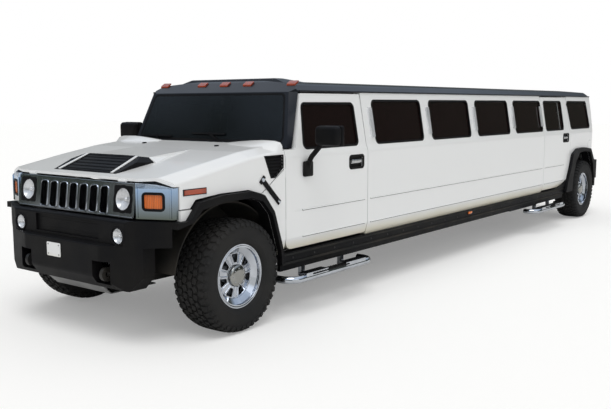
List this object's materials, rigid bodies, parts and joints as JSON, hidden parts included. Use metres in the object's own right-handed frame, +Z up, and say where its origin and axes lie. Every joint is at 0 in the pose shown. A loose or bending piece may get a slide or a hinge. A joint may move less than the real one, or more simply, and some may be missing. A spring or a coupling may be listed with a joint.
{
  "type": "stretch limousine",
  "caption": "White stretched off-road style limousine with opening side doors, tilting hood, liftgate, steered front wheels and a lounge cabin.",
  "frame": {"origin": "on the ground below the middle of the car's bounding box", "axes": "+X forward, +Y to the driver's left, +Z up"},
  "size_m": [9.39, 2.6606, 1.9379],
  "materials": {
    "white_paint": "gloss",
    "black_paint": "gloss",
    "frame_black": "satin",
    "underbody": "satin",
    "engine_metal": "rough",
    "bare_metal": "satin",
    "bright_trim": "polished",
    "chrome": "polished",
    "black_plastic": "grained",
    "cabin_plastic": "grained",
    "seat_leather": "soft",
    "tyre_rubber": "matt",
    "clear_glass": "clear",
    "dark_glass": "tinted",
    "lamp_glass": "clear",
    "amber_lens": "clear moulded",
    "red_lens": "clear moulded"
  },
  "bodies": {
    "root": {"chassis_frame": "frame_black", "floor_pan": "underbody", "engine_bay": "underbody", "engine_block": "engine_metal", "cowl_sides": "white_paint", "corner_panels": "white_paint", "stretch_sides": "white_paint", "rear_quarters": "white_paint", "roof_panel": "black_paint", "windscreen_frame": "black_paint", "windscreen": "clear_glass", "side_glass": "dark_glass", "opera_lamps": "bright_trim", "marker_lamps": "amber_lens", "wipers": "black_plastic", "wheel_flares": "black_plastic", "sill_claddings": "black_plastic", "side_steps": "chrome", "radiator_grille": "chrome", "lamp_bezels": "chrome", "front_lamps": "lamp_glass", "turn_lamps": "amber_lens", "front_bumper": "black_plastic", "skid_plate": "bare_metal", "rear_bumper": "black_plastic", "tail_lamps": "red_lens", "dashboard": "cabin_plastic", "front_seats": "seat_leather", "lounge_bench": "seat_leather", "partition": "cabin_plastic", "front_suspension": "frame_black", "rear_axle": "frame_black", "exhaust": "bare_metal", "fuel_tank": "black_plastic"},
    "front_left_knuckle": {"steering_knuckle_left": "frame_black"},
    "front_right_knuckle": {"steering_knuckle_right": "frame_black"},
    "front_left_wheel": {"front_left_rim": "chrome", "front_left_tyre": "tyre_rubber"},
    "front_right_wheel": {"front_right_rim": "chrome", "front_right_tyre": "tyre_rubber"},
    "rear_left_wheel": {"rear_left_rim": "chrome", "rear_left_tyre": "tyre_rubber"},
    "rear_right_wheel": {"rear_right_rim": "chrome", "rear_right_tyre": "tyre_rubber"},
    "front_left_door": {"front_door_left": "white_paint", "front_door_glass_left": "dark_glass", "mirror_left": "black_plastic"},
    "front_right_door": {"front_door_right": "white_paint", "front_door_glass_right": "dark_glass", "mirror_right": "black_plastic"},
    "rear_left_door": {"rear_door_left": "white_paint", "rear_door_glass_left": "dark_glass"},
    "rear_right_door": {"rear_door_right": "white_paint", "rear_door_glass_right": "dark_glass"},
    "hood_lid": {"hood": "white_paint", "hood_scoop": "black_plastic"},
    "tailgate_lid": {"tailgate": "white_paint", "tailgate_glass": "dark_glass"}
  },
  "joints": [
    {"name": "front_left_steer", "type": "hinge", "parent": "root", "child": "front_left_knuckle", "pos_m": [3.835, 0.82, 0.432], "axis": [0, 0, 1], "range_deg": [-30, 30]},
    {"name": "front_right_steer", "type": "hinge", "parent": "root", "child": "front_right_knuckle", "pos_m": [3.835, -0.82, 0.432], "axis": [0, 0, 1], "range_deg": [-30, 30]},
    {"name": "front_left_spin", "type": "hinge", "parent": "front_left_knuckle", "child": "front_left_wheel", "pos_m": [3.835, 0.8815, 0.432], "axis": [0, 1, 0], "continuous": true},
    {"name": "front_right_spin", "type": "hinge", "parent": "front_right_knuckle", "child": "front_right_wheel", "pos_m": [3.835, -0.8815, 0.432], "axis": [0, 1, 0], "continuous": true},
    {"name": "rear_left_spin", "type": "hinge", "parent": "root", "child": "rear_left_wheel", "pos_m": [-3.856, 0.8815, 0.432], "axis": [0, 1, 0], "continuous": true},
    {"name": "rear_right_spin", "type": "hinge", "parent": "root", "child": "rear_right_wheel", "pos_m": [-3.856, -0.8815, 0.432], "axis": [0, 1, 0], "continuous": true},
    {"name": "front_left_door_hinge", "type": "hinge", "parent": "root", "child": "front_left_door", "pos_m": [3.2585, 0.985, 1.1], "axis": [0, 0, -1], "range_deg": [0, 65]},
    {"name": "front_right_door_hinge", "type": "hinge", "parent": "root", "child": "front_right_door", "pos_m": [3.2585, -0.985, 1.1], "axis": [0, 0, 1], "range_deg": [0, 65]},
    {"name": "rear_left_door_hinge", "type": "hinge", "parent": "root", "child": "rear_left_door", "pos_m": [-2.3115, 0.985, 1.1], "axis": [0, 0, -1], "range_deg": [0, 70]},
    {"name": "rear_right_door_hinge", "type": "hinge", "parent": "root", "child": "rear_right_door", "pos_m": [-2.3115, -0.985, 1.1], "axis": [0, 0, 1], "range_deg": [0, 70]},
    {"name": "hood_hinge", "type": "hinge", "parent": "root", "child": "hood_lid", "pos_m": [4.535, 0, 1.1803], "axis": [0, 1, 0], "range_deg": [0, 60]},
    {"name": "tailgate_hinge", "type": "hinge", "parent": "root", "child": "tailgate_lid", "pos_m": [-4.382, 0, 1.809], "axis": [0, 1, 0], "range_deg": [0, 88]}
  ],
  "couplings": [
    {"joint": "front_right_steer", "follows": "front_left_steer", "ratio": 1}
  ]
}
